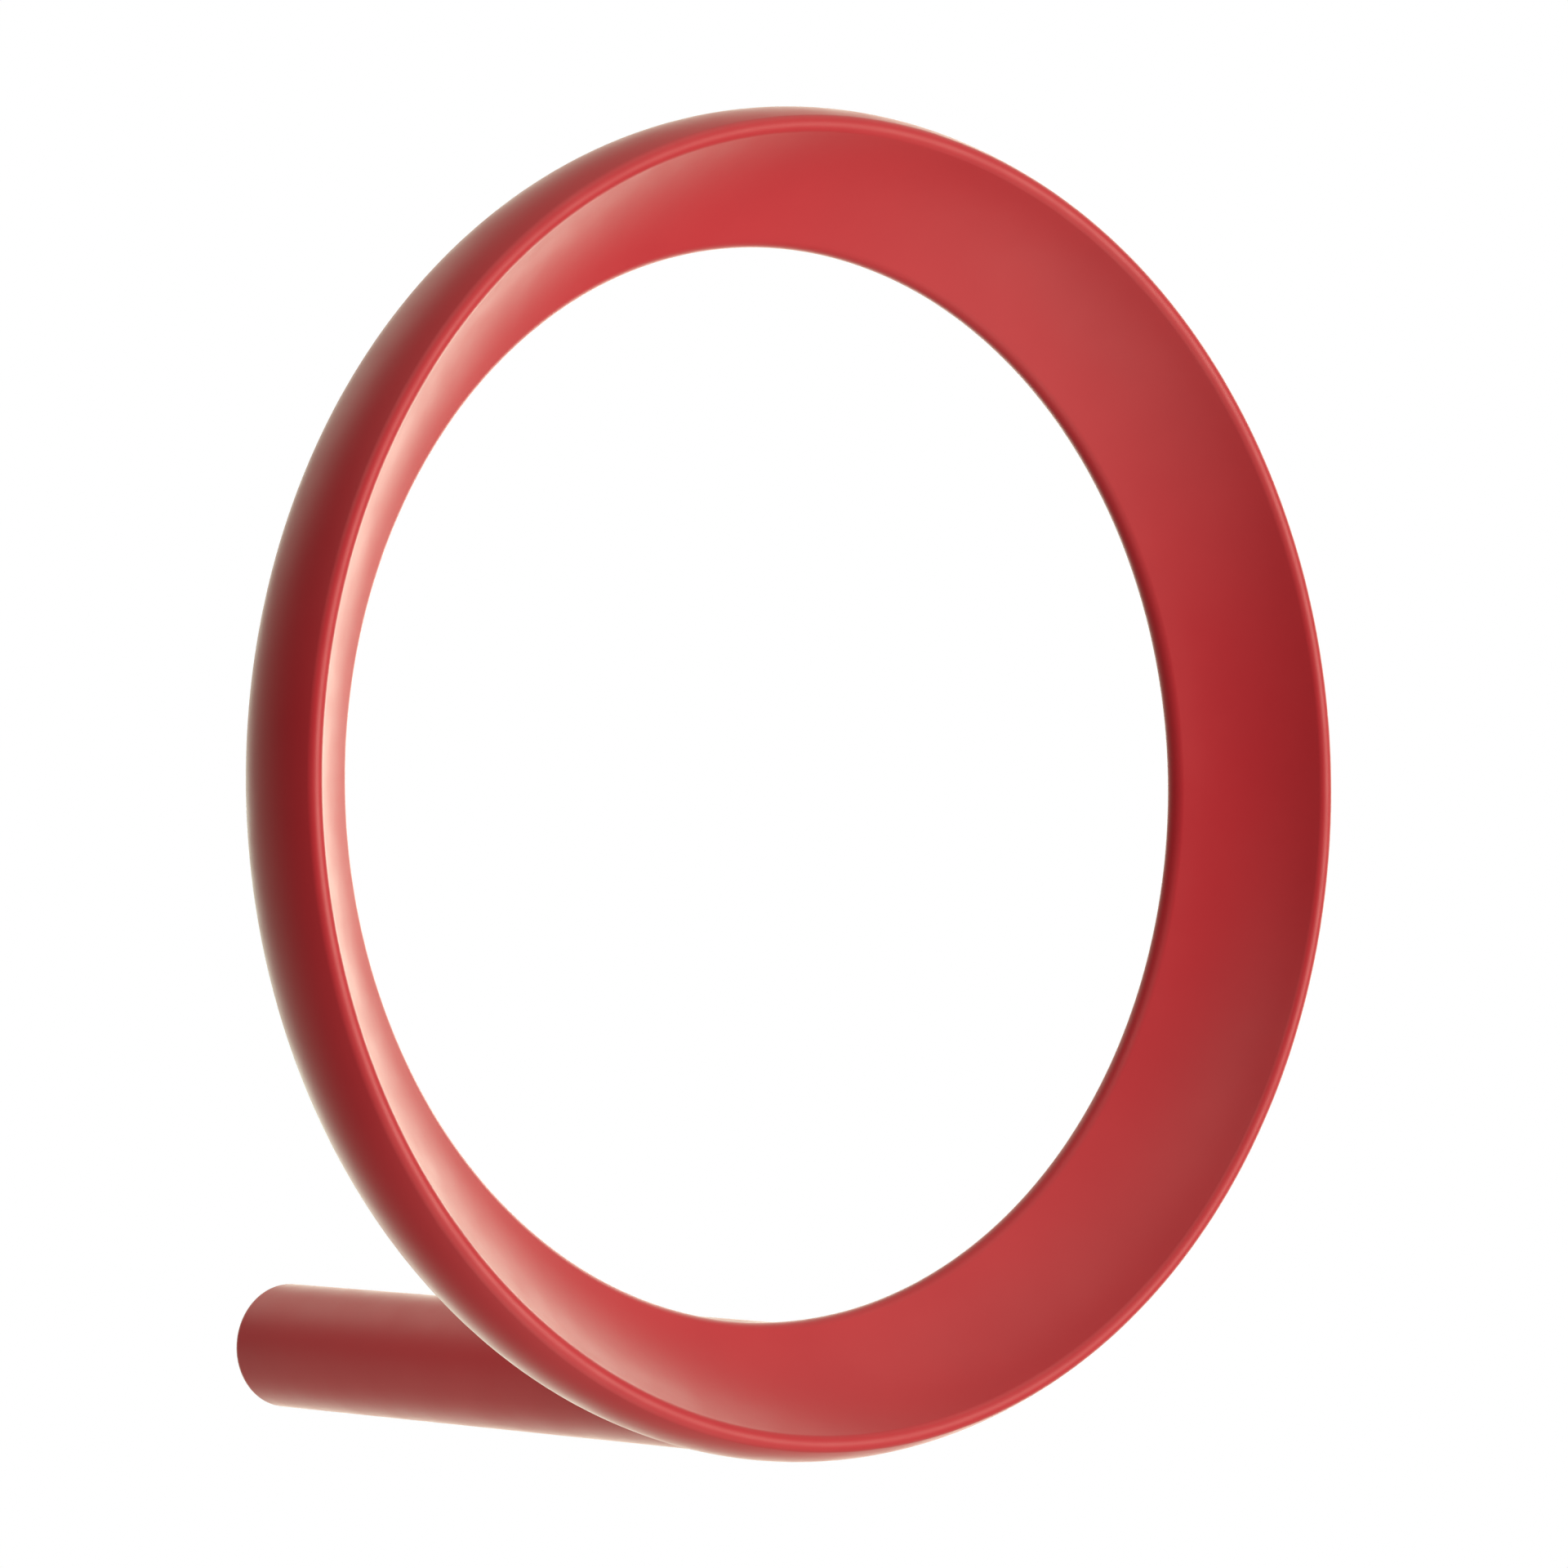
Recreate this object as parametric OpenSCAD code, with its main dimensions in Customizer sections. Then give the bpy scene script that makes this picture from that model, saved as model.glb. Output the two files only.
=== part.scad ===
// Ring wall hook: a dished ring on a round post, pushed onto a spigot that is screwed to the wall.
// The wall is the plane y = 0 and the hook stands out from it along -Y, with +Z up.
// The origin is the middle of the post's wall end.

/* [Ring] */
// Outside diameter of the ring
ring_d = 100; // [90:1:120]
// Diameter of the hole through the ring
hole_d = 80; // [76:1:81]
// Depth of the ring from its flat back to its front lip
ring_depth = 10; // [9:0.5:12]
// Radius of the rounded outside of the ring's section
barrel_r = 7.75; // [7:0.05:8.5]
// Distance from the flat back to the ring's widest line
widest_line = 6; // [5.5:0.1:6.4]
// Radius of the rounding on the front lip
lip_r = 0.75; // [0.5:0.05:1]
// Radius of the hollow front face
dish_r = 20; // [15:1:60]
// Radius of the rounding at the edge of the hole
hole_edge_r = 1.1; // [0.8:0.1:1.5]
// Radius of the rounding between the flat back and the outside
back_edge_r = 2; // [1.5:0.1:2.5]

/* [Post] */
// Diameter of the post
post_d = 10; // [9:0.5:12]
// Distance from the wall to the front lip
projection = 71.5; // [50:0.5:90]
// Radius of the rounded edge at the wall end
post_edge_r = 0.8; // [0.4:0.1:1.2]
// How far the post's front end reaches round the ring's back
cope_depth = 2.5; // [2:0.1:3]

/* [Wall fixing] */
// Diameter of the blind bore in the wall end
bore_d = 7; // [6.8:0.1:7.2]
// Depth of that bore
bore_depth = 16; // [15:0.5:20]
// Gap all round between the spigot and the bore
spigot_clearance = 0.03; // [0.02:0.01:0.08]
// Length of the spigot
spigot_length = 14; // [12:0.5:14.5]
// Diameter of the screw hole through the spigot
screw_hole_d = 3.3; // [3:0.1:3.6]
// Diameter of the countersink for the screw's head
screw_head_d = 5.5; // [5:0.1:5.6]
// Depth of the spigot's flat, which faces the grub screw
flat_depth = 0.52; // [0.45:0.01:0.55]

/* [Grub screw] */
// Thread diameter
grub_d = 3; // [2.5:0.5:3]
// Length
grub_length = 2; // [1.8:0.1:2]
// Distance from the wall to the screw's axis
grub_from_wall = 8; // [6:0.5:10]
// Turn of the screw's axis round the post, from straight down towards +X
grub_turn = 30; // [20:5:45]
// Width across the flats of the hexagon socket
socket_width = 1.5; // [1.3:0.1:1.5]
// Depth of the socket
socket_depth = 0.9; // [0.7:0.1:1.1]

/* [Hidden] */

coat_red = [0.72, 0.14, 0.15];
steel_grey = [0.74, 0.75, 0.77];
screw_grey = [0.42, 0.43, 0.45];

step_angle = 4;        // turn of each short side along a rounded outline, in degrees
ring_sides = 180;      // sides round the ring
post_sides = 96;       // sides round the post and its bore
spigot_chamfer = 0.3;  // lead-in at the spigot's front end
flat_from_wall = 3;    // plain length of the spigot behind its flat
grub_chamfer = 0.25;   // chamfer at both ends of the grub screw
thread_gap = 0.03;     // gap round the grub screw, where its thread runs
tip_gap = 0.03;        // gap between the grub screw and the spigot's flat
spare = 1;             // how far a cutting shape runs past what it cuts

hole_r = hole_d / 2;
post_r = post_d / 2;
bore_r = bore_d / 2;
spigot_r = bore_r - spigot_clearance;
flat_height = spigot_r - flat_depth;
ring_back = projection - ring_depth;
ring_height = (ring_d + hole_d) / 4;  // the post stands behind the middle of the ring's band

// Centres of the section's roundings: first across the ring, then forward from its flat back.
barrel_centre = [ring_d / 2 - barrel_r, widest_line];
lip_forward = ring_depth - lip_r;
lip_angle = asin((lip_forward - widest_line) / (barrel_r - lip_r));
lip_centre = [barrel_centre[0] + (barrel_r - lip_r) * cos(lip_angle), lip_forward];
hole_edge_centre = [hole_r + hole_edge_r, hole_edge_r];
back_angle = -asin((widest_line - back_edge_r) / (barrel_r - back_edge_r));
back_edge_centre = [barrel_centre[0] + (barrel_r - back_edge_r) * cos(back_angle), back_edge_r];

// The hollow face touches the lip's rounding and the hole edge's rounding.
lip_reach = dish_r + lip_r;
edge_reach = dish_r + hole_edge_r;
face_span = norm(hole_edge_centre - lip_centre);
face_way = (hole_edge_centre - lip_centre) / face_span;
foot = (lip_reach * lip_reach - edge_reach * edge_reach + face_span * face_span) / (2 * face_span);
dish_rise = sqrt(lip_reach * lip_reach - foot * foot);
dish_centre = lip_centre + foot * face_way + dish_rise * [face_way[1], -face_way[0]];

// Direction of the line from one point to another, in degrees.
function way(from, to) = atan2(to[1] - from[1], to[0] - from[0]);

// Points along an arc, from one direction to another.
function arc(centre, r, from, to) =
    let (sides = ceil(abs(to - from) / step_angle))
    [for (i = [0:sides]) let (a = from + (to - from) * i / sides) centre + r * [cos(a), sin(a)]];

dish_from_lip = way(dish_centre, lip_centre);
dish_from_edge = way(dish_centre, hole_edge_centre);

ring_section = concat(
    arc(back_edge_centre, back_edge_r, -90, back_angle),
    arc(barrel_centre, barrel_r, back_angle, lip_angle),
    arc(lip_centre, lip_r, lip_angle, dish_from_lip + 180),
    arc(dish_centre, dish_r, dish_from_lip, dish_from_edge),
    arc(hole_edge_centre, hole_edge_r, dish_from_edge + 180, 270)
);

// Where the barrel's outline reaches the cope's depth.
cope_angle = -asin((widest_line - cope_depth) / barrel_r);

// The room that the ring's back takes from the post, open towards the front.
cope_section = concat(
    [[hole_r - post_r, hole_edge_r]],
    arc(hole_edge_centre, hole_edge_r, 180, 270),
    arc(back_edge_centre, back_edge_r, -90, back_angle),
    arc(barrel_centre, barrel_r, back_angle, cope_angle),
    [
        [ring_d / 2 + post_r, cope_depth],
        [ring_d / 2 + post_r, ring_depth],
        [hole_r - post_r, ring_depth]
    ]
);

post_section = concat(
    [[0, 0]],
    arc([post_r - post_edge_r, post_edge_r], post_edge_r, -90, 0),
    [[post_r, ring_back + cope_depth + spare], [0, ring_back + cope_depth + spare]]
);

spigot_section = [
    [screw_hole_d / 2, 0],
    [spigot_r, 0],
    [spigot_r, spigot_length - spigot_chamfer],
    [spigot_r - spigot_chamfer, spigot_length],
    [screw_head_d / 2, spigot_length],
    [screw_hole_d / 2, spigot_length - (screw_head_d - screw_hole_d) / 2]
];

// Turns a shape that stands up along +Z so that it stands out from the wall.
module from_wall() {
    rotate([90, 0, 0]) children();
}

// Puts a turned shape on the ring's axis, with its base on the plane of the ring's back.
module on_ring_axis() {
    translate([0, 0, ring_height]) from_wall() translate([0, 0, ring_back]) children();
}

// Turns a shape on the post's underside round the post, to the side that the grub screw is on.
module to_grub_side() {
    rotate([0, -grub_turn, 0]) children();
}

// Puts a shape on the grub screw's axis, pointing out from the post's middle line.
module on_grub_axis() {
    to_grub_side() translate([0, -grub_from_wall, 0]) rotate([180, 0, 0]) children();
}

module hook_ring() {
    color(coat_red) on_ring_axis() rotate_extrude($fn = ring_sides) polygon(ring_section);
}

module post() {
    color(coat_red) difference() {
        from_wall() rotate_extrude($fn = post_sides) polygon(post_section);
        on_ring_axis() rotate_extrude($fn = ring_sides) polygon(cope_section);
        from_wall() translate([0, 0, -spare]) cylinder(r = bore_r, h = bore_depth + spare, $fn = post_sides);
        on_grub_axis() cylinder(r = grub_d / 2 + thread_gap, h = post_r + spare, $fn = post_sides / 2);
    }
}

module wall_spigot() {
    color(steel_grey) difference() {
        from_wall() rotate_extrude($fn = post_sides) polygon(spigot_section);
        to_grub_side() translate([-spigot_r, -spigot_length - spare, -flat_height - spigot_r])
            cube([2 * spigot_r, spigot_length + spare - flat_from_wall, spigot_r]);
    }
}

module grub_screw() {
    tip = flat_height + tip_gap;
    narrow_r = grub_d / 2 - grub_chamfer;
    color(screw_grey) on_grub_axis() translate([0, 0, tip]) difference() {
        rotate_extrude($fn = post_sides / 2) polygon([
            [0, 0],
            [narrow_r, 0],
            [grub_d / 2, grub_chamfer],
            [grub_d / 2, grub_length - grub_chamfer],
            [narrow_r, grub_length],
            [0, grub_length]
        ]);
        translate([0, 0, grub_length - socket_depth])
            cylinder(d = socket_width / cos(30), h = socket_depth + spare, $fn = 6);
    }
}

hook_ring();
post();
wall_spigot();
grub_screw();
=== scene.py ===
import math

import bmesh
import bpy
from mathutils import Matrix, Vector


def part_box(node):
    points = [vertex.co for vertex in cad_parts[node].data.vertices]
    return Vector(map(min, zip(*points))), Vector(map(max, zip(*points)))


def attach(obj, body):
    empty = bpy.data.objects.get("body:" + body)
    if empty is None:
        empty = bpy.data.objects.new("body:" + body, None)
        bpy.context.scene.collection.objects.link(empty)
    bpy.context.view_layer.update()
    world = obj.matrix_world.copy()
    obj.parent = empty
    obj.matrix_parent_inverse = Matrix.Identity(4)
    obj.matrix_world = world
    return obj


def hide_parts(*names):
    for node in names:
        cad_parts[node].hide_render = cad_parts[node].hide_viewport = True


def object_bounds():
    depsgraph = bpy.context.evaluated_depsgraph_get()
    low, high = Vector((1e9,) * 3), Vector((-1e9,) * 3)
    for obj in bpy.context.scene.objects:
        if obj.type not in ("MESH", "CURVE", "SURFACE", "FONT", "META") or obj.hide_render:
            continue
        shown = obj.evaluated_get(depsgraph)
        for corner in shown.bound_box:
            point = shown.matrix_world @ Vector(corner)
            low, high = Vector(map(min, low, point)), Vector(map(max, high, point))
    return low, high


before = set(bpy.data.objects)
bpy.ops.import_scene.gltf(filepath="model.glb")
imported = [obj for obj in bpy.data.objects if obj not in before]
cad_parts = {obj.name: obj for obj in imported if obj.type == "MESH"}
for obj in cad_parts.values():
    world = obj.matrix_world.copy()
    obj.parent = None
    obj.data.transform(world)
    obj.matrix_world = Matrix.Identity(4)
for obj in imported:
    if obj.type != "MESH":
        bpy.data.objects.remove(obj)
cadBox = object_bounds()
mm = 0.001


def addPiece(name, bm, body, material, replaced=()):
    bmesh.ops.remove_doubles(bm, verts=bm.verts, dist=0.0002 * mm)
    bmesh.ops.recalc_face_normals(bm, faces=bm.faces)
    mesh = bpy.data.meshes.new(name)
    bm.to_mesh(mesh)
    bm.free()
    mesh.shade_smooth()
    mesh.materials.append(material)
    piece = bpy.data.objects.new(name, mesh)
    bpy.context.scene.collection.objects.link(piece)
    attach(piece, body)
    if replaced:
        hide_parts(*replaced)
    return piece


# ---- red powder coat
coatLook = {
    "red": (0.57, 0.030, 0.046),
    "deepRed": (0.55, 0.027, 0.043),
    # paler red of the lip: partly wear, partly a painted highlight
    "rubbedAndHighlitRed": (0.59, 0.041, 0.056),
    "dust": (0.75, 0.66, 0.60),
    "roughness": (0.35, 0.43),
    "ior": 1.46,
    "veil": 0.16,  # dusty bloom of the fine powder, seen at a slant
    "veilRoughness": 0.45,
    "veilColour": (1.0, 0.90, 0.80),
    "mottleSize": 9.0,  # all sizes and depths in mm
    "rubAndHighlightReach": (0.3, 2.0),  # how far from the lip the rubbing and the painted highlight fade out
    "rubAndHighlightPatchSize": 3.0,
    "rubAndHighlightStrength": 0.5,
    "rubShine": 0.12,
    "sheenPatchSize": 5.0,
    "peelSize": 1.1,  # across one dimple of the coat
    "peelDepth": 0.004,
    "grainSize": 0.12,
    "grainShare": 0.12,  # depth of the grain as a share of the peel's
    "dustSpacing": 9.0,
    "dustRadius": 0.12,
    "dustStrength": 0.6,
}


class NodeBench:
    # lays out the nodes of one material, each call adds a node and wires it

    def __init__(self, material):
        self.tree = material.node_tree
        self.shader = self.tree.nodes["Principled BSDF"]
        self.place = self.add("ShaderNodeTexCoord").outputs["Object"]

    def add(self, kind, **settings):
        node = self.tree.nodes.new(kind)
        for key, value in settings.items():
            setattr(node, key, value)
        return node

    def join(self, source, target):
        self.tree.links.new(source, target)

    def noise(self, size, detail=2.0, roughness=0.5):
        node = self.add("ShaderNodeTexNoise")
        node.inputs["Scale"].default_value = 1 / (size * mm)
        node.inputs["Detail"].default_value = detail
        node.inputs["Roughness"].default_value = roughness
        self.join(self.place, node.inputs["Vector"])
        return node.outputs["Fac"]

    def spread(self, value, low, high, toLow=0.0, toHigh=1.0, smooth=False):
        node = self.add("ShaderNodeMapRange")
        if smooth:
            node.interpolation_type = "SMOOTHSTEP"
        self.join(value, node.inputs["Value"])
        for key, number in (("From Min", low), ("From Max", high), ("To Min", toLow), ("To Max", toHigh)):
            node.inputs[key].default_value = number
        return node.outputs["Result"]

    def math(self, operation, a, b=None):
        node = self.add("ShaderNodeMath", operation=operation)
        for slot, value in zip(node.inputs, (a, b)):
            if value is None:
                continue
            if isinstance(value, (int, float)):
                slot.default_value = value
            else:
                self.join(value, slot)
        return node.outputs[0]

    def blend(self, amount, a, b):
        node = self.add("ShaderNodeMix", data_type="RGBA")
        self.join(amount, node.inputs["Factor"])
        for key, value in (("A", a), ("B", b)):
            slot = [i for i in node.inputs if i.name == key and i.type == "RGBA"][0]
            if isinstance(value, tuple):
                slot.default_value = (*value, 1.0)
            else:
                self.join(value, slot)
        return [o for o in node.outputs if o.type == "RGBA"][0]

    def bump(self, height, depth, under=None):
        node = self.add("ShaderNodeBump")
        node.inputs["Strength"].default_value = 1.0
        node.inputs["Distance"].default_value = depth * mm
        self.join(height, node.inputs["Height"])
        if under is not None:
            self.join(under, node.inputs["Normal"])
        return node.outputs["Normal"]


def newMaterial(name):
    material = bpy.data.materials.new(name)
    material.use_nodes = True
    return material


def redCoat(ringAxis, lipRadius, lipFront):
    look = coatLook
    material = newMaterial("redCoat")
    bench = NodeBench(material)
    shader = bench.shader

    # soft cloudiness of the pigment
    mottle = bench.noise(look["mottleSize"], detail=3.0)
    colour = bench.blend(bench.spread(mottle, 0.35, 0.65), look["deepRed"], look["red"])

    # the front lip is rubbed a little smoother by what hangs on it, and painted paler: partly wear,
    # partly a painted highlight along the lip
    parts = bench.add("ShaderNodeSeparateXYZ")
    bench.join(bench.place, parts.inputs["Vector"])
    height = bench.math("SUBTRACT", parts.outputs["Z"], ringAxis.z)
    across = bench.math("SQRT", bench.math("ADD", bench.math("POWER", parts.outputs["X"], 2.0),
                                           bench.math("POWER", height, 2.0)))
    fromLip = bench.math("ABSOLUTE", bench.math("SUBTRACT", across, lipRadius))
    fromFront = bench.math("ABSOLUTE", bench.math("SUBTRACT", parts.outputs["Y"], lipFront))
    near, far = look["rubAndHighlightReach"]
    offLip = bench.math("ADD", fromLip, fromFront)
    nearLip = bench.spread(offLip, near * mm, far * mm, 1.0, 0.0, smooth=True)
    patchy = bench.spread(bench.noise(look["rubAndHighlightPatchSize"], detail=4.0), 0.35, 0.7)
    rubbedAndHighlit = bench.math("MULTIPLY", bench.math("MULTIPLY", nearLip, patchy), look["rubAndHighlightStrength"])
    # paler lip colour blended in: wear plus a painted highlight
    colour = bench.blend(rubbedAndHighlit, colour, look["rubbedAndHighlitRed"])

    # a few specks of dust set in the coat
    cells = bench.add("ShaderNodeTexVoronoi")
    cells.inputs["Scale"].default_value = 1 / (look["dustSpacing"] * mm)
    bench.join(bench.place, cells.inputs["Vector"])
    speckEdge = look["dustRadius"] / look["dustSpacing"]
    speck = bench.spread(cells.outputs["Distance"], speckEdge * 0.7, speckEdge, 1.0, 0.0)
    colour = bench.blend(bench.math("MULTIPLY", speck, look["dustStrength"]), colour, look["dust"])
    bench.join(colour, shader.inputs["Base Color"])

    # satin sheen, uneven on a small scale, shinier where it is rubbed
    low, high = look["roughness"]
    sheen = bench.noise(look["sheenPatchSize"], detail=5.0, roughness=0.6)
    sheen = bench.spread(sheen, 0.3, 0.7, low, high)
    sheen = bench.math("SUBTRACT", sheen, bench.math("MULTIPLY", rubbedAndHighlit, look["rubShine"]))
    bench.join(sheen, shader.inputs["Roughness"])

    # orange peel, then the fine grain of the powder
    peel = bench.bump(bench.noise(look["peelSize"], detail=1.0), look["peelDepth"])
    grainDepth = look["peelDepth"] * look["grainShare"]
    grain = bench.bump(bench.noise(look["grainSize"], detail=2.0), grainDepth, under=peel)
    bench.join(grain, shader.inputs["Normal"])
    shader.inputs["IOR"].default_value = look["ior"]
    shader.inputs["Sheen Weight"].default_value = look["veil"]
    shader.inputs["Sheen Roughness"].default_value = look["veilRoughness"]
    shader.inputs["Sheen Tint"].default_value = (*look["veilColour"], 1.0)
    return material


# ---- the dished ring, turned like the real one on its own axis
ringShape = {
    "holeRadius": 40.0,
    "barrel": 7.75,
    "widestLine": 6.0,
    "lip": 0.75,
    "dish": 20.0,
    "holeEdge": 1.1,
    "backEdge": 2.0,
    "lipInset": 1.5,  # from the widest line in to the top of the lip
    "arcStep": 3.0,  # degrees
    "smallArc": 2.5,  # roundings tighter than this get more steps
    "smallArcSteps": 14,
    "turnSteps": 512,
}


def ringArcs(outerRadius, depth):
    # centres are (across, forward) in mm: out from the ring's axis, then forward from its flat back
    s = ringShape
    lipForward = depth - s["lip"]
    lipAngle = math.asin((lipForward - s["widestLine"]) / (s["barrel"] - s["lip"]))
    barrel = Vector((outerRadius - s["barrel"], s["widestLine"]))
    lip = Vector((barrel.x + (s["barrel"] - s["lip"]) * math.cos(lipAngle), lipForward))
    holeEdge = Vector((s["holeRadius"] + s["holeEdge"], s["holeEdge"]))
    backAngle = -math.asin((s["widestLine"] - s["backEdge"]) / (s["barrel"] - s["backEdge"]))
    backEdge = Vector((barrel.x + (s["barrel"] - s["backEdge"]) * math.cos(backAngle), s["backEdge"]))
    # the hollow face touches the lip's rounding and the hole edge's rounding
    face = holeEdge - lip
    lipReach, edgeReach = s["dish"] + s["lip"], s["dish"] + s["holeEdge"]
    foot = (lipReach**2 - edgeReach**2 + face.length_squared) / (2 * face.length)
    rise = math.sqrt(lipReach**2 - foot**2)
    along = face.normalized()
    dish = lip + foot * along + rise * Vector((along.y, -along.x))

    def way(start, end):
        return math.atan2(end.y - start.y, end.x - start.x)

    fromLip, fromEdge = way(dish, lip), way(dish, holeEdge)
    turn = math.pi
    return [
        (backEdge, s["backEdge"], -turn / 2, backAngle),
        (barrel, s["barrel"], backAngle, lipAngle),
        (lip, s["lip"], lipAngle, fromLip + turn),
        (dish, s["dish"], fromLip, fromEdge),
        (holeEdge, s["holeEdge"], fromEdge + turn, 1.5 * turn),
    ]


def makeRing(material):
    low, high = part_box("hook_ring")
    axis = (low + high) / 2
    outer, depth = (high.x - low.x) / 2 / mm, (high.y - low.y) / mm

    def place(point):
        return Vector((axis.x + point.x * mm, high.y - point.y * mm, axis.z))

    bm = bmesh.new()
    arcs = ringArcs(outer, depth)
    centre, radius, start, end = arcs[0]
    last = first = bm.verts.new(place(centre + radius * Vector((math.cos(start), math.sin(start)))))
    for centre, radius, start, end in arcs:
        steps = max(6, math.ceil(math.degrees(abs(end - start)) / ringShape["arcStep"]))
        if radius < ringShape["smallArc"]:
            steps = max(steps, ringShape["smallArcSteps"])
        grown = bmesh.ops.spin(bm, geom=[last], cent=place(centre), axis=(0, 0, -1),
                               angle=end - start, steps=steps, use_merge=False)
        last = [g for g in grown["geom_last"] if isinstance(g, bmesh.types.BMVert)][0]
    bm.edges.new((last, first))
    bmesh.ops.spin(bm, geom=bm.verts[:] + bm.edges[:], cent=axis, axis=(0, 1, 0), angle=2 * math.pi,
                   steps=ringShape["turnSteps"], use_merge=True)
    return addPiece("dishedRing", bm, "hook", material, ["hook_ring"])


ringLow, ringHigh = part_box("hook_ring")
coat = redCoat((ringLow + ringHigh) / 2, ringHigh.x - ringShape["lipInset"] * mm, ringLow.y)
ring = makeRing(coat)
print("ring made, faces:", len(ring.data.polygons))

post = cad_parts["post"]
post.material_slots[0].material = coat
print("post coated")


# ---- bead of weld round the foot of the ring, under the coat
weldShape = {
    "beadRadius": 0.5,
    "reachForward": 2.5,  # the post stops this far forward of the ring's back
    "clearOfHole": 0.9,  # the bead runs out into the post where the post is flush with the hole
    "insideRim": 0.02,  # keeps the bead just within the ring's widest line
    "points": 240,
    "roundness": 4,
}


def backDepth(across, arcs):
    # how far forward of the ring's flat back its surface lies, at this distance from its axis
    backEdge, backRadius, _, backAngle = arcs[0]
    barrel, barrelRadius = arcs[1][:2]
    holeEdge, holeRadius = arcs[-1][:2]
    if across < holeEdge.x:
        centre, radius = holeEdge, holeRadius
    elif across < backEdge.x:
        return 0.0
    elif across < backEdge.x + backRadius * math.cos(backAngle):
        centre, radius = backEdge, backRadius
    else:
        centre, radius = barrel, barrelRadius
    return centre.y - math.sqrt(max(0.0, radius**2 - (across - centre.x)**2))


def makeWeld(material):
    postLow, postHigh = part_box("post")
    postAxis, postRadius = (postLow + postHigh) / 2, (postHigh.x - postLow.x) / 2 / mm
    ringAxis = (ringLow + ringHigh) / 2
    arcs = ringArcs((ringHigh.x - ringLow.x) / 2 / mm, (ringHigh.y - ringLow.y) / mm)
    nearest = arcs[-1][0].x + weldShape["clearOfHole"]
    furthest = (ringHigh.x - ringLow.x) / 2 / mm - weldShape["beadRadius"] - weldShape["insideRim"]
    curve = bpy.data.curves.new("weldBead", "CURVE")
    curve.dimensions = "3D"
    curve.bevel_depth = weldShape["beadRadius"] * mm
    curve.bevel_resolution = weldShape["roundness"]
    seam = curve.splines.new("POLY")
    seam.points.add(weldShape["points"] - 1)
    seam.use_cyclic_u = True
    seam.use_smooth = True
    for number, point in enumerate(seam.points):
        turn = 2 * math.pi * number / weldShape["points"]
        side = postRadius * math.sin(turn)
        rise = postRadius * math.cos(turn) + (postAxis.z - ringAxis.z) / mm
        across = math.hypot(side, rise)
        reach = min(max(across, nearest), furthest)
        depth = min(backDepth(reach, arcs), weldShape["reachForward"])
        point.co = (ringAxis.x + side * reach / across * mm, ringHigh.y - depth * mm,
                    ringAxis.z + rise * reach / across * mm, 1.0)
    curve.materials.append(material)
    bead = bpy.data.objects.new("weldBead", curve)
    bpy.context.scene.collection.objects.link(bead)
    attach(bead, "hook")
    return bead


makeWeld(coat)
print("weld laid")


# ---- steel of the wall spigot and of the grub screw
steelLook = {
    "toneSize": 2.0,
    "darkShare": 0.8,
    "polishSize": 0.6,
    "polishSpread": (-0.06, 0.08),
    "lineDepth": 0.002,
}


def steel(name, colour, roughness, lineSize):
    look = steelLook
    material = newMaterial(name)
    bench = NodeBench(material)
    shader = bench.shader
    shader.inputs["Metallic"].default_value = 1.0
    tone = bench.noise(look["toneSize"], detail=4.0)
    darker = tuple(c * look["darkShare"] for c in colour)
    bench.join(bench.blend(bench.spread(tone, 0.3, 0.7), darker, colour), shader.inputs["Base Color"])
    smoother, rougher = (roughness + change for change in look["polishSpread"])
    polish = bench.spread(bench.noise(look["polishSize"], detail=3.0), 0.3, 0.7, smoother, rougher)
    bench.join(polish, shader.inputs["Roughness"])
    turned = bench.add("ShaderNodeTexWave", wave_type="RINGS", rings_direction="Y")
    turned.inputs["Scale"].default_value = 1 / (lineSize * mm)
    bench.join(bench.place, turned.inputs["Vector"])
    bench.join(bench.bump(turned.outputs["Fac"], look["lineDepth"]), shader.inputs["Normal"])
    return material


turnedSteel = steel("turnedSteel", (0.60, 0.60, 0.61), 0.30, 1.2)
darkZinc = steel("darkZinc", (0.25, 0.25, 0.26), 0.38, 2.0)
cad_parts["wall_spigot"].material_slots[0].material = turnedSteel
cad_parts["grub_screw"].material_slots[0].material = darkZinc
print("steel parts finished")


# ---- floor, light and camera
studio = {
    "floorDrop": 0.60,
    "floorRadius": 6.0,
    "floorColour": (0.88, 0.91, 0.99),
    "floorCloudSize": 400.0,  # mm
    "floorRoughness": 0.9,
    "backdrop": 1.0,
    "frontColour": (1.0, 0.92, 0.77),
    # each light: degrees round to the right of the camera, degrees up, tightness, strength
    "frontLights": {
        "keyRight": (63, -5, 14, 5.2),
        "underRight": (40, -63, 5, 1.7),
        "overRight": (70, 64, 5, 1.3),
        "overFront": (-20, 43, 14, 1.3),
        "lowLeft": (-43, -20, 14, 0.1),
    },
    "backColour": (0.84, 0.94, 0.77),
    "backLights": {
        "sideLeft": (-109, -16, 12, 0.6),
        "behindLow": (-157, -16, 12, 2.3),
        "behindHigh": (-131, 37, 14, 1.5),
        "behindRight": (165, 4, 6.5, 4.3),
    },
    "postFill": {"distance": 100.0, "height": 30.0, "length": 50.0, "spread": 60.0, "power": 0.0025},
}


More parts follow.
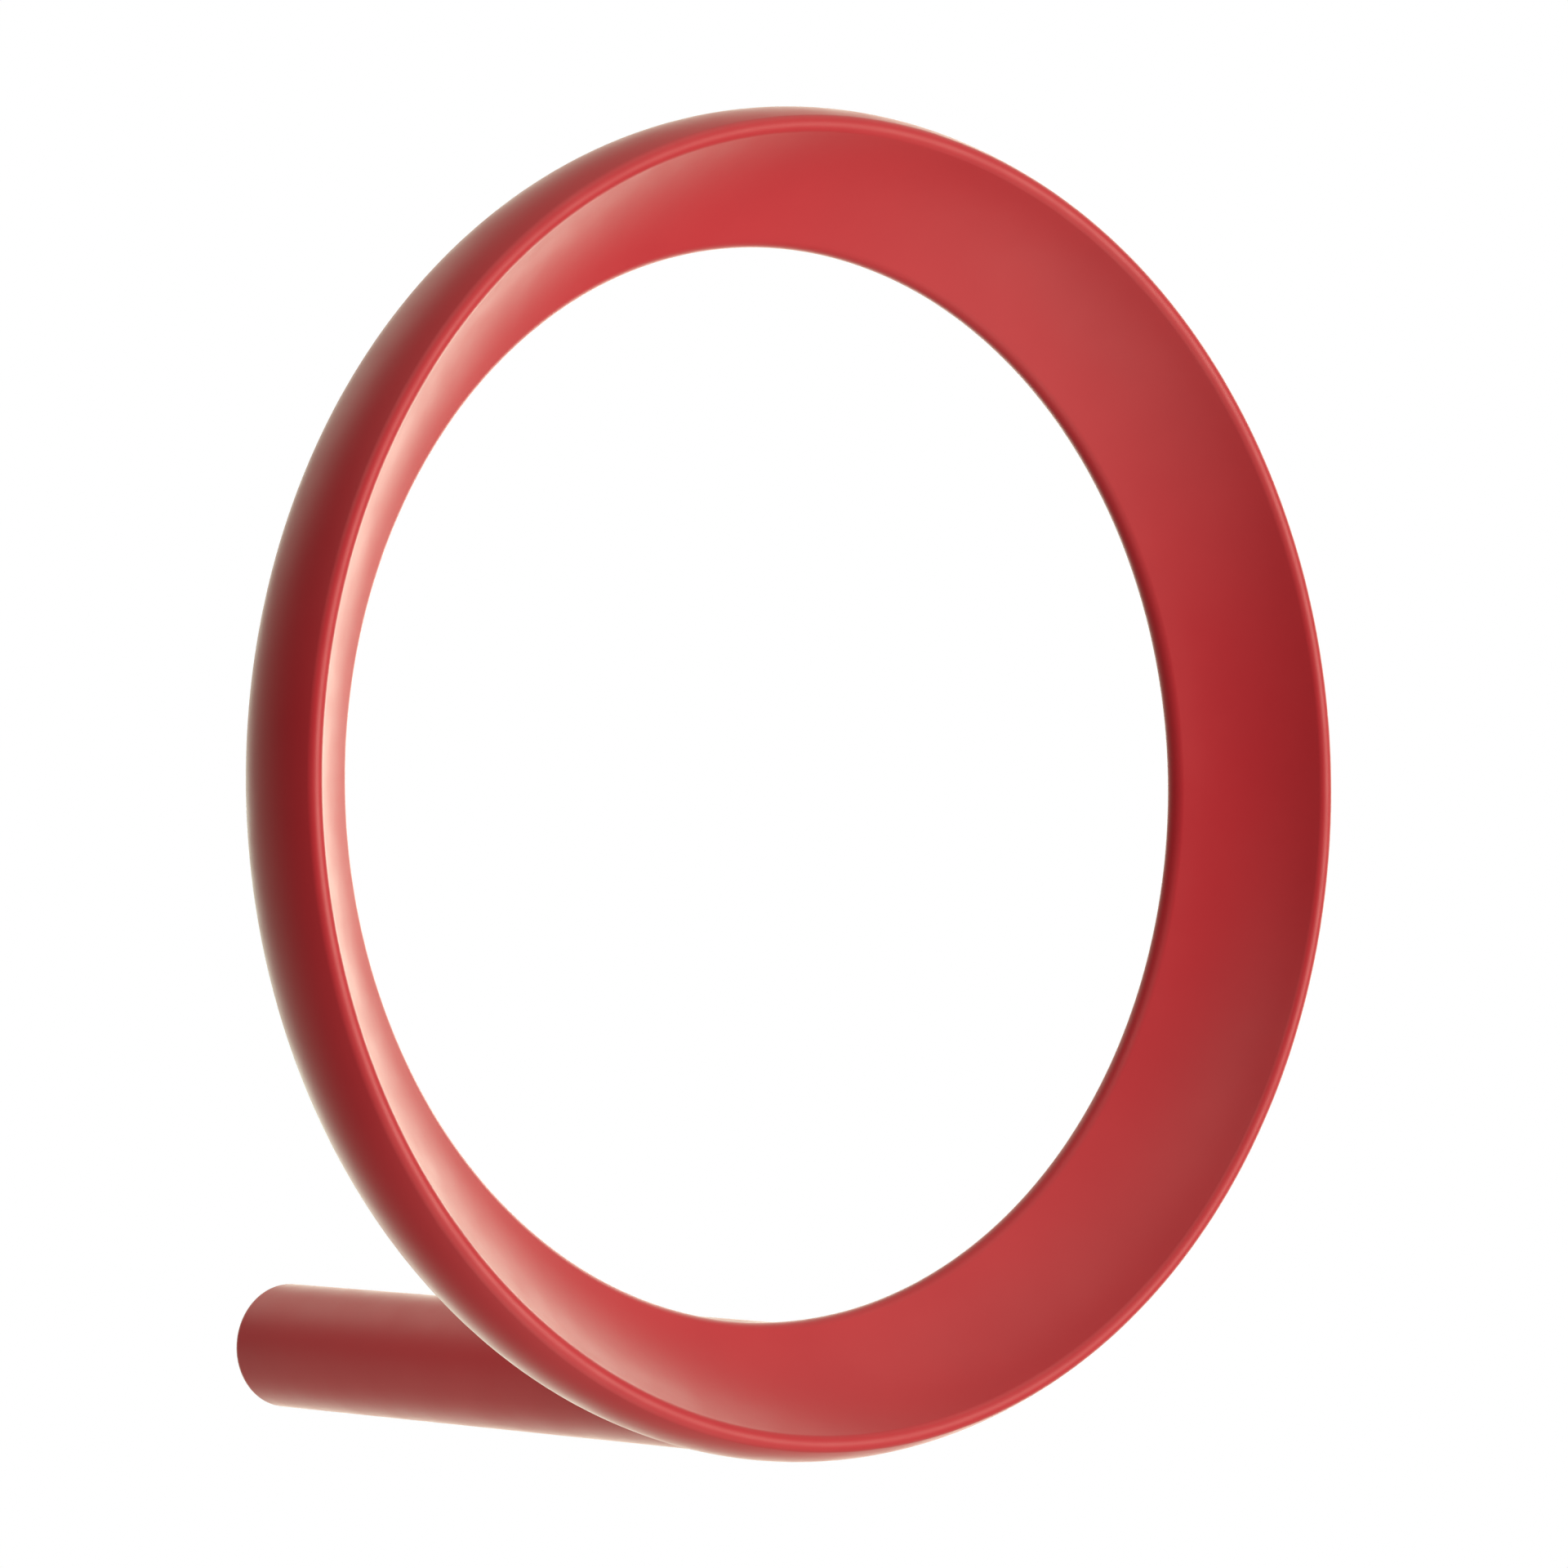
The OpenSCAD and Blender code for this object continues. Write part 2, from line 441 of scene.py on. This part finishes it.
def makeFloor():
    bm = bmesh.new()
    bmesh.ops.create_circle(bm, cap_ends=True, segments=96, radius=studio["floorRadius"],
                            matrix=Matrix.Translation((0, 0, cadBox[0].z - studio["floorDrop"])))
    mesh = bpy.data.meshes.new("floor")
    bm.to_mesh(mesh)
    bm.free()
    floor = bpy.data.objects.new("floor", mesh)
    material = newMaterial("paleFloor")
    bench = NodeBench(material)
    pale = studio["floorColour"]
    tone = bench.spread(bench.noise(studio["floorCloudSize"], detail=3.0), 0.3, 0.7)
    bench.join(bench.blend(tone, tuple(c * 0.98 for c in pale), pale), bench.shader.inputs["Base Color"])
    bench.shader.inputs["Roughness"].default_value = studio["floorRoughness"]
    mesh.materials.append(material)
    bpy.context.scene.collection.objects.link(floor)
    # light comes from beneath too, so the floor is only there for the camera
    floor.visible_diffuse = floor.visible_glossy = floor.visible_shadow = False


def lightWay(turn, rise):
    # the camera looks along its yaw, so a light at turn 0 stands beside the camera
    heading = math.radians(shot["yaw"] + 180 - turn)
    up = math.radians(rise)
    return Vector((math.sin(heading) * math.cos(up), math.cos(heading) * math.cos(up), math.sin(up)))


def makeWorld():
    # wide soft lights on all sides light the hook, and the camera sees the plain white backdrop
    world = bpy.data.worlds.new("studio")
    bpy.context.scene.world = world
    world.use_nodes = True
    tree = world.node_tree
    tree.nodes.clear()

    def add(kind, **settings):
        node = tree.nodes.new(kind)
        for key, value in settings.items():
            setattr(node, key, value)
        return node

    def mathNode(operation, a, b):
        node = add("ShaderNodeMath", operation=operation)
        tree.links.new(a, node.inputs[0])
        if isinstance(b, (int, float)):
            node.inputs[1].default_value = b
        else:
            tree.links.new(b, node.inputs[1])
        return node.outputs[0]

    way = add("ShaderNodeTexCoord").outputs["Generated"]
    bothGroups = add("ShaderNodeAddShader")
    for side, group in enumerate(("front", "back")):
        total = None
        for turn, rise, tightness, strength in studio[group + "Lights"].values():
            facing = add("ShaderNodeVectorMath", operation="DOT_PRODUCT")
            tree.links.new(way, facing.inputs[0])
            facing.inputs[1].default_value = lightWay(turn, rise)
            glow = mathNode("POWER", mathNode("MAXIMUM", facing.outputs["Value"], 0.0), tightness)
            glow = mathNode("MULTIPLY", glow, strength)
            total = glow if total is None else mathNode("ADD", total, glow)
        soft = add("ShaderNodeBackground")
        soft.inputs["Color"].default_value = (*studio[group + "Colour"], 1.0)
        tree.links.new(total, soft.inputs["Strength"])
        tree.links.new(soft.outputs[0], bothGroups.inputs[side])
    plain = add("ShaderNodeBackground")
    plain.inputs["Color"].default_value = (1.0, 1.0, 1.0, 1.0)
    plain.inputs["Strength"].default_value = studio["backdrop"]
    either = add("ShaderNodeMixShader")
    tree.links.new(add("ShaderNodeLightPath").outputs["Is Camera Ray"], either.inputs["Fac"])
    tree.links.new(bothGroups.outputs[0], either.inputs[1])
    tree.links.new(plain.outputs[0], either.inputs[2])
    tree.links.new(either.outputs[0], add("ShaderNodeOutputWorld").inputs["Surface"])


def makePostFill():
    # a small low light beside the post, which the ring doesn't get
    fill = studio["postFill"]
    light = bpy.data.lights.new("postFill", "AREA")
    light.shape = "RECTANGLE"
    light.size, light.size_y = fill["height"] * mm, fill["length"] * mm
    light.spread = math.radians(fill["spread"])
    light.energy = fill["power"]
    light.color = studio["frontColour"]
    lamp = bpy.data.objects.new("postFill", light)
    postLow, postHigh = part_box("post")
    middle = (postLow + postHigh) / 2
    lamp.matrix_world = (Matrix.Translation(middle - Vector((fill["distance"] * mm, 0, 0)))
                         @ Matrix.Rotation(math.radians(-90), 4, "Y"))
    lamp.visible_camera = lamp.visible_glossy = False
    bpy.context.scene.collection.objects.link(lamp)


shot = {
    "fromRing": (-309.3, -370.2, -13.6),  # mm from the middle of the ring
    "yaw": 39.63,
    "pitch": 1.61,
    "roll": 0.78,
    "lens": 149.6,
    "sensor": 36.0,
    "clip": (0.01, 20.0),  # m
}


def makeCamera():
    camera = bpy.data.objects.new("camera", bpy.data.cameras.new("camera"))
    bpy.context.scene.collection.objects.link(camera)
    camera.data.sensor_width = shot["sensor"]
    camera.data.lens = shot["lens"]
    camera.data.clip_start, camera.data.clip_end = shot["clip"]
    ringMiddle = (ringLow + ringHigh) / 2
    turn = (Matrix.Rotation(math.radians(-shot["yaw"]), 4, "Z")
            @ Matrix.Rotation(math.radians(90 + shot["pitch"]), 4, "X")
            @ Matrix.Rotation(math.radians(shot["roll"]), 4, "Z"))
    camera.matrix_world = Matrix.Translation(ringMiddle + Vector(shot["fromRing"]) * mm) @ turn
    bpy.context.scene.camera = camera


makeFloor()
makeWorld()
makePostFill()
makeCamera()
bpy.context.scene.view_settings.view_transform = "Standard"
print("studio set")
